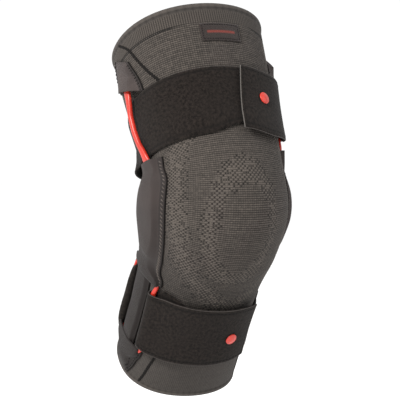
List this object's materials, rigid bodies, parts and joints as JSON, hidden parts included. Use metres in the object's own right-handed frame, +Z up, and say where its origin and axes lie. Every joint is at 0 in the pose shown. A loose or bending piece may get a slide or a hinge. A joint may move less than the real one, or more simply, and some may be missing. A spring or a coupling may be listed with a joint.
{
  "type": "hinged knee brace",
  "caption": "Knitted knee sleeve on a bent knee, with a hinge stay in a cloth pocket on each side and wide straps above and below.",
  "frame": {"origin": "the knee's centre inside the sleeve, midway between the two hinges", "axes": "+Z up the standing leg, the front of the knee faces -Y, +X to the right of someone who looks at the front"},
  "size_m": [0.1402, 0.2005, 0.3326],
  "materials": {
    "knit": "dark warm grey ring-patterned knit",
    "pocket_cloth": "smooth dark grey stretch cloth",
    "strap_plush": "short black-brown loop plush",
    "hook_cloth": "grey hook tape",
    "red_plastic": "coral red, satin",
    "label_cloth": "dark brown woven patch"
  },
  "bodies": {
    "root": {"knit_sleeve": "knit", "left_pocket_cap": "pocket_cloth", "left_pocket": "pocket_cloth", "left_hinge_stay": "red_plastic", "right_pocket_cap": "pocket_cloth", "right_pocket": "pocket_cloth", "right_hinge_stay": "red_plastic", "upper_strap": "strap_plush", "lower_strap": "strap_plush", "upper_hook_patch": "hook_cloth", "lower_hook_patch": "hook_cloth", "upper_button": "red_plastic", "lower_button": "red_plastic", "label_patch": "label_cloth"}
  },
  "joints": []
}
